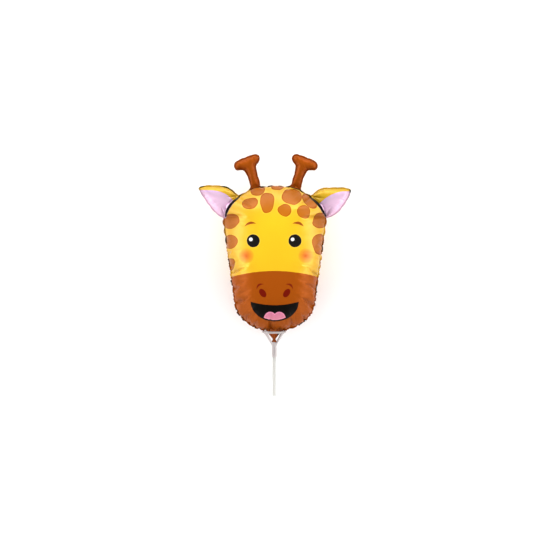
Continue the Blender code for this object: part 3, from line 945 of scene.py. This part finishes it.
def foil_material(name, spots, front):
    ink = Ink(bpy.data.materials.new(name))
    uv = ink.node("UVMap", uv_map="print")
    seam = ink.node("UVMap", uv_map="seam")
    point = ink.vector("MULTIPLY", uv, IN_MM)
    x, y, _ = ink.split(point)
    beyond = ink.split(ink.vector("MULTIPLY", seam, IN_MM))[1]
    away = ink.math("ABSOLUTE", x)
    right = ink.above(x)

    head = printed_spots(ink, point, YELLOW, spots)
    if front:
        head = face_print(ink, point, head)
    on_muzzle = muzzle_mask(ink, x, y)
    head = ink.paint(head, muzzle_print(ink, point, x, y) if front else BROWN, on_muzzle)

    # Ears: pink below the fold on the front, yellow elsewhere. Horns: brown
    ear, pink = EAR_YELLOW, 0.0
    if front:
        fold = above_fold(ink, away, y, right)
        pink = ink.below(fold, -1.0, 0.9)
        inner = ink.paint(EAR_PINK, EAR_PINK_SHADED, ink.ramp(fold, FOLD_SHADED))
        ear = ink.layers(ear, (FOLD_LINE, ink.below(fold, 1.2, 0.8)), (inner, pink))
    horn = ink.math("MAXIMUM", ink.below(away, HORN_SIDE, 1.0), ink.above(y, EARS_TOP, 1.0))

    # The head's blown side covers the inner ends of the ears, less so towards their lower ends
    lower_end = ink.ramp(ink.both(y, ink.either(right, EAR_END_RISE)), (0.0, 1.0, 0.0, 1.0))
    tucked = ink.both(ink.ramp(away, EAR_SIDE), lower_end)
    outside = ink.math("ADD", outside_head(ink, x, y), tucked)
    on_limb = ink.both(ink.above(outside), ink.above(y, 0.0, 1.0))
    on_pink = ink.both(on_limb, pink)
    dark = rim_patches(ink, seam, beyond, away, y, ink.both(on_limb, horn), on_pink)
    # The limbs' print, the root line (printed outline and partly painted crease shade), and dark print
    # patches on the rim
    ground = ink.layers(head, (ink.paint(ear, BROWN, horn), on_limb),
                        (BLACK, root_line_and_crease_shade(ink, away, y, outside)), (BLACK, dark))

    # Painted shade darkens the inks towards the seam and at the limbs' rims, and dark inks shine less
    seam_painted_shade = ink.paint(HEAD_PAINTED_SHADE, MUZZLE_PAINTED_SHADE, on_muzzle)
    shade = ink.paint(SHADE_MIDDLE, seam_painted_shade, ink.ramp(beyond, SEAM_PAINTED_SHADE_RAMP))
    # Painted shade at the rims of the ears and horns
    close = ink.math("EXPONENT", ink.both(ink.math("MINIMUM", beyond, 0.0), 1 / LIMB_RIM_SHADE_REACH))
    limb_painted_shade = ink.paint(SHADE_LIMB, ink.paint(EAR_RIM_PAINTED_SHADE, HORN_RIM_PAINTED_SHADE, horn), close)
    ink.shade("Base Color", ink.multiplied(ground, ink.paint(shade, limb_painted_shade, on_limb)))
    gloss = ink.ramp(ink.node("RGBToBW", [ground]), INK_GLOSS)
    ink.shade("Specular IOR Level", ink.both(gloss, ink.scaled(on_pink, PINK_GLOSS_LOST, 1.0)))
    crinkle = ink.noise(uv, 180.0, 3.0, 0.6)
    streaks = ink.noise(ink.vector("MULTIPLY", seam, STREAK_SCALE), 1.0, 2.0, 0.6)
    streaks = ink.both(streaks, ink.math("EXPONENT", ink.both(beyond, 1 / STREAK_REACH)))
    ink.shade("Roughness", ink.scaled(crinkle, 0.12, 0.30))
    ink.bump(ink.scaled(crinkle, 0.2, streaks), 0.5, 0.0008)
    ink.shade("Metallic", 0.12)
    return ink.owner


def make_foil():
    """Skin of both films, and the gathered neck below it."""
    skin_mesh = foil_mesh(blown_balloon())
    skin_mesh.materials.append(foil_material("printed_foil_front", FACE_SPOTS, True))
    skin_mesh.materials.append(foil_material("printed_foil_back", BACK_SPOTS, False))
    skin = link(bpy.data.objects.new("foil_skin", skin_mesh))
    neck = make_neck()
    for piece in (skin, neck):
        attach(piece, "root")
        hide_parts("foil_balloon")


# Neck, cup and stick

NECK = [(-0.0080, 0.0106), (0.0030, 0.0102), (0.0092, 0.0060), (0.0136, 0.0028), (0.0156, 0.0029),
        (0.0172, 0.0040), (0.0196, 0.0042)]
NECK_THICKNESS = 0.0018
NECK_PLEATS = 7
NECK_PLEAT_HEIGHT = 0.0009
NECK_STEPS = 96
NECK_FILM = colour(214, 108, 16)
NECK_FOLD_PAINTED_SHADE = colour(160, 72, 4)
NECK_FOLD_SCALE = (900.0, 60.0, 60.0)
# Black patch on the neck's right-hand edge: how far out it begins, its middle below the rim, half its height
NECK_DARK_FROM = 0.0056
NECK_DARK_DEPTH = 0.0048
NECK_DARK_HALF = 0.0032
CUP_TURN = math.radians(5.0)
# Cup's outside as radius and depth below its rim, and the rim's outer and inner radius
CUP_PROFILE = [(0.0210, 0.0004), (0.0214, 0.0012), (0.0208, 0.0020), (0.0180, 0.0038), (0.0147, 0.0075),
               (0.0109, 0.0137), (0.0074, 0.0195), (0.0050, 0.0238), (0.0042, 0.0262)]
CUP_RIM = (0.0207, 0.0203)
CUP_WALL = 0.0010
# How much thicker the slanting wall is across than through
CUP_SLANT = 1.15
CUP_FLOOR_DEPTH = 0.0210
CUP_LENGTH = 0.0455
CUP_EDGE = 0.0003
CUP_STEPS = 96
# Cup's milky colour, and a darker one for painted shade on its flanks
CUP_COLOURS = (colour(206, 198, 197), colour(180, 169, 167))
# Window: depth and half-width of its top and its bottom
WINDOW = [(0.0040, 0.0118), (0.0204, 0.0040)]
WINDOW_CORNER = 0.0012
STICK_RADIUS = 0.0029
STICK_WALL = 0.0008
STICK_EDGE = 0.0002
STICK_CLEARANCE = 0.0003
STICK_STEPS = 48
# Stick's milky colour, and a darker one for painted shade on its flanks
STICK_COLOURS = (colour(206, 205, 200), colour(124, 123, 119))
SHARP = math.radians(32)
# Painted shade on the flanks, where the surface faces sideways as the piece lies: upright share of the
# normal from, to, and how far they take the flanks' darker colour
FLANK_PAINTED_SHADE = (0.25, 0.95, 1.0, 0.0)
FLOW_SCALE = (260.0, 40.0, 260.0)
FLOW_SHADE = 0.86


def mesh_piece(name, verts, faces, material, node):
    mesh = bpy.data.meshes.new(name)
    mesh.from_pydata(verts, [], faces)
    if material:
        mesh.materials.append(material)
    piece = link(bpy.data.objects.new(name, mesh))
    if node:
        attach(piece, "root")
        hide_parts(node)
    return piece


def write_outward(bm, mesh):
    """Writes the surface to the mesh with its faces outward."""
    bmesh.ops.recalc_face_normals(bm, faces=bm.faces)
    bm.to_mesh(mesh)
    bm.free()


def turned_outward(piece):
    bm = bmesh.new()
    bm.from_mesh(piece.data)
    write_outward(bm, piece.data)
    piece.data.shade_smooth()


def make_neck():
    """Film of the neck, gathered to a pleated ribbon and flared again where it is heat-sealed."""
    verts = []
    for depth, half in spline(NECK, 6):
        pleat = NECK_PLEAT_HEIGHT * (half / NECK[0][1]) ** 0.5
        for turn in np.linspace(0, math.tau, NECK_STEPS, endpoint=False):
            across = math.cos(turn)
            fold = pleat * math.sin(across * math.pi * NECK_PLEATS / 2)
            up = SEAM_HEIGHT + math.sin(turn) * NECK_THICKNESS / 2 + fold
            verts.append((AXIS_X + half * across, CUP_TOP - depth, up))
    count = NECK_STEPS
    faces = [tuple(range(count))[::-1]]
    for base in range(0, len(verts) - count, count):
        faces += [(base + i, base + (i + 1) % count, base + count + (i + 1) % count, base + count + i)
                  for i in range(count)]
    faces.append(tuple(range(len(verts) - count, len(verts))))
    neck = mesh_piece("foil_neck", verts, faces, neck_material(), None)
    turned_outward(neck)
    return neck


def cup_loop():
    """Section of the cup from its rim down the outside, up the bore and up the inside: radius, depth."""
    funnel = [tuple(p) for p in spline(CUP_PROFILE, 5)]
    socket = CUP_PROFILE[-1][0]
    outside = [(CUP_RIM[0], 0.0), *funnel, (socket, CUP_LENGTH - CUP_EDGE), (socket - CUP_EDGE, CUP_LENGTH)]
    stop = STICK_RADIUS + STICK_CLEARANCE
    bore_top = CUP_TOP - STICK_HIGH[1] - STICK_CLEARANCE
    bore = [(stop + CUP_EDGE, CUP_LENGTH), (stop, CUP_LENGTH - CUP_EDGE), (stop, bore_top), (0.0, bore_top)]
    wall = [(r - CUP_WALL * CUP_SLANT, d) for r, d in funnel[::-1] if d < CUP_FLOOR_DEPTH]
    floor = [(0.0, CUP_FLOOR_DEPTH), (wall[0][0], CUP_FLOOR_DEPTH)]
    return [*outside, *bore, *floor, *wall, (CUP_RIM[1], 0.0)]


def window_cutter():
    """Block that cuts both windows, with rounded corners."""
    (top, top_half), (bottom, bottom_half) = WINDOW
    section = [(-top_half, -top), (top_half, -top), (bottom_half, -bottom), (-bottom_half, -bottom)]
    verts = [(x, side * 0.03, z) for side in (-1, 1) for x, z in section]
    faces = [(0, 1, 2, 3), (7, 6, 5, 4), (0, 4, 5, 1), (1, 5, 6, 2), (2, 6, 7, 3), (3, 7, 4, 0)]
    cutter = mesh_piece("window_cutter", verts, faces, None, None)
    bm = bmesh.new()
    bm.from_mesh(cutter.data)
    corners = [e for e in bm.edges if abs(e.verts[0].co.y - e.verts[1].co.y) > 0.01]
    bmesh.ops.bevel(bm, geom=corners, offset=WINDOW_CORNER, segments=6, affect="EDGES", profile=0.5)
    write_outward(bm, cutter.data)
    return cutter


def make_cup():
    """Balloon cup: a turned funnel and socket with a window cut through its front and back."""
    bm = bmesh.new()
    rim = [bm.verts.new((r, 0.0, -d)) for r, d in cup_loop()]
    edges = [bm.edges.new((a, b)) for a, b in zip(rim, rim[1:] + rim[:1])]
    bmesh.ops.spin(bm, geom=rim + edges, cent=(0, 0, 0), axis=(0, 0, 1), angle=math.tau, steps=CUP_STEPS,
                   use_merge=True, use_duplicate=False)
    bmesh.ops.remove_doubles(bm, verts=bm.verts, dist=1e-6)
    mesh = bpy.data.meshes.new("balloon_cup")
    write_outward(bm, mesh)
    cup = link(bpy.data.objects.new("balloon_cup", mesh))

    cutter = window_cutter()
    opening = cup.modifiers.new("window", "BOOLEAN")
    opening.object = cutter
    opening.operation = "DIFFERENCE"
    opening.solver = "EXACT"
    cup.data = bpy.data.meshes.new_from_object(cup.evaluated_get(bpy.context.evaluated_depsgraph_get()))
    cup.modifiers.clear()
    bpy.data.objects.remove(cutter)
    cup.data.materials.clear()
    cup.data.materials.append(plastic_material("cup_plastic", *CUP_COLOURS, 0.30, 0.45, (0.0, 1.0, 0.0)))
    cup.data.shade_smooth()
    cup.data.set_sharp_from_angle(angle=SHARP)
    cup.rotation_euler = (-math.pi / 2, CUP_TURN, 0.0)
    cup.location = (AXIS_X, CUP_TOP, SEAM_HEIGHT)
    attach(cup, "root")
    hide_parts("cup")


def make_stick():
    """Drinking-straw stick, open at both ends, with softened edges."""
    low, high, edge = STICK_LOW[1], STICK_HIGH[1], STICK_EDGE
    outer, inner = STICK_RADIUS, STICK_RADIUS - STICK_WALL
    loop = [(outer, low + edge), (outer, high - edge), (outer - edge, high), (inner + edge, high),
            (inner, high - edge), (inner, low + edge), (inner + edge, low), (outer - edge, low)]
    verts, faces = [], []
    for k, turn in enumerate(np.linspace(0, math.tau, STICK_STEPS, endpoint=False)):
        verts += [(AXIS_X + r * math.cos(turn), y, SEAM_HEIGHT + r * math.sin(turn)) for r, y in loop]
        for i in range(len(loop)):
            a, b = k * len(loop), (k + 1) % STICK_STEPS * len(loop)
            j = (i + 1) % len(loop)
            faces.append((a + i, a + j, b + j, b + i))
    plastic = plastic_material("stick_plastic", *STICK_COLOURS, 0.35, 0.1, (0.0, 0.0, 1.0))
    stick = mesh_piece("balloon_stick", verts, faces, plastic, "stick")
    turned_outward(stick)
    stick.data.set_sharp_from_angle(angle=SHARP)


def neck_material():
    """Brown printed film, with painted shade in lines along its folds, and a black edge."""
    ink = Ink(bpy.data.materials.new("neck_foil"))
    place = ink.node("TexCoord", output="Object")
    # Painted shade: darker streaks along the neck's folds
    film = ink.paint(NECK_FOLD_PAINTED_SHADE, NECK_FILM, ink.noise(ink.vector("MULTIPLY", place, NECK_FOLD_SCALE), 1.0))
    x, y, _ = ink.split(ink.vector("MULTIPLY", place, IN_MM))
    depth = ink.scaled(y, -1.0, (CUP_TOP - NECK_DARK_DEPTH) * 1000)
    dark = ink.both(ink.above(x, (AXIS_X + NECK_DARK_FROM) * 1000),
                    ink.below(ink.math("ABSOLUTE", depth), NECK_DARK_HALF * 1000))
    ink.shade("Base Color", ink.paint(film, BLACK, dark))
    ink.shade("Metallic", 0.2)
    ink.shade("Roughness", 0.34)
    return ink.owner


def plastic_material(name, base, flank_painted_shade, roughness, transmission, axis):
    """Moulded milky plastic: grain, flow marks, uneven gloss, and painted shade on the flanks that face
    sideways.

    The axis is the object's direction that points up when it lies.
    """
    ink = Ink(bpy.data.materials.new(name))
    place = ink.node("TexCoord", output="Object")
    flow = ink.noise(ink.vector("MULTIPLY", place, FLOW_SCALE), 1.0, 3.0)
    grain = ink.noise(place, 2600.0)
    darker = (*(c * FLOW_SHADE for c in base[:3]), 1.0)
    upright = ink.vector("DOT_PRODUCT", ink.node("TexCoord", output="Normal"), axis, output=1)
    # Painted shade where the normal faces sideways
    flank_shade_mask = ink.ramp(ink.math("ABSOLUTE", upright), FLANK_PAINTED_SHADE)
    ink.shade("Base Color", ink.layers(darker, (base, flow), (flank_painted_shade, flank_shade_mask)))
    ink.shade("Roughness", ink.scaled(grain, 0.15, roughness - 0.07))
    ink.bump(grain, 0.25, 0.00005)
    ink.shade("Transmission Weight", transmission)
    ink.shade("IOR", 1.45)
    return ink.owner


# Studio

FLOOR_GREYS = [(0.94, 0.94, 0.94, 1.0), (0.96, 0.96, 0.96, 1.0)]
# Strength by height of direction, and by how far it points to the far end: from, to, strengths
SKY_BAND = (0.20, 0.50, 7.2, 0.88)
SKY_NEAR_END = (-0.95, -0.1, 0.45, 1.0)


def make_stage():
    bpy.ops.mesh.primitive_plane_add(size=12.0, location=(0, 0, 0))
    floor = bpy.context.object
    floor.name = "floor"
    ink = Ink(bpy.data.materials.new("floor"))
    grain = ink.noise(ink.node("TexCoord", output="Object"), 40.0, 4.0)
    ink.shade("Base Color", ink.paint(*FLOOR_GREYS, grain))
    ink.shade("Roughness", 0.9)
    ink.shade("Specular IOR Level", 0.1)
    floor.data.materials.append(ink.owner)


def make_lights():
    """A bright band of sky above the horizon, dark overhead, so that the film shines only at its rims."""
    ink = Ink(bpy.data.worlds.new("studio"))
    _, along, up = ink.split(ink.node("TexCoord", output="Generated"))
    ink.shade("Strength", ink.both(ink.ramp(up, SKY_BAND), ink.ramp(along, SKY_NEAR_END)))
    ink.shade("Color", WHITE)
    bpy.context.scene.world = ink.owner


def main():
    bpy.context.scene.view_settings.view_transform = "Standard"
    make_camera()
    make_stage()
    make_lights()
    make_foil()
    make_cup()
    make_stick()


main()
